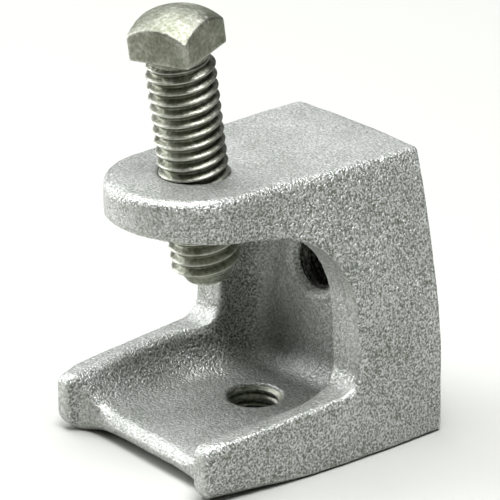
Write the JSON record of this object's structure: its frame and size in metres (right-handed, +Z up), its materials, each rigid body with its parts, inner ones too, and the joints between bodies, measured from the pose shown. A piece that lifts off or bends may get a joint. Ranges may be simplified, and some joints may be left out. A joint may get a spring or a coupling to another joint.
{
  "type": "beam clamp",
  "caption": "C-shaped malleable iron beam clamp with a leaning square-head set screw, dished lower jaw and empty tapped holes for hanging loads.",
  "frame": {"origin": "middle of the base: the part stands on z = 0, centred in X and Y", "axes": "+X across the width, -Y out of the open throat, +Y through the back wall, +Z up towards the screw's head"},
  "size_m": [0.0382, 0.0424, 0.0639],
  "materials": {
    "cast_iron": "light grey zinc-coated sand casting with a coarse grain",
    "zinc_steel": "yellowish zinc-plated steel, satin"
  },
  "bodies": {
    "clamp_body": {"casting": "cast_iron"},
    "screw_point": {"set_screw_point": "zinc_steel"},
    "screw": {"set_screw": "zinc_steel"}
  },
  "joints": [
    {"name": "screw_travel", "type": "slide", "parent": "clamp_body", "child": "screw_point", "axis": [0, 0.1435, -0.9897], "range_m": [-0.00953, 0.01588]},
    {"name": "screw_turn", "type": "hinge", "parent": "screw_point", "child": "screw", "pos_m": [0, -0.0088, 0.0403], "axis": [0, 0.1435, -0.9897], "range_deg": [-2160, 3600]}
  ],
  "couplings": [
    {"joint": "screw_turn", "follows": "screw_travel", "rad_per_m": 3957.9}
  ]
}
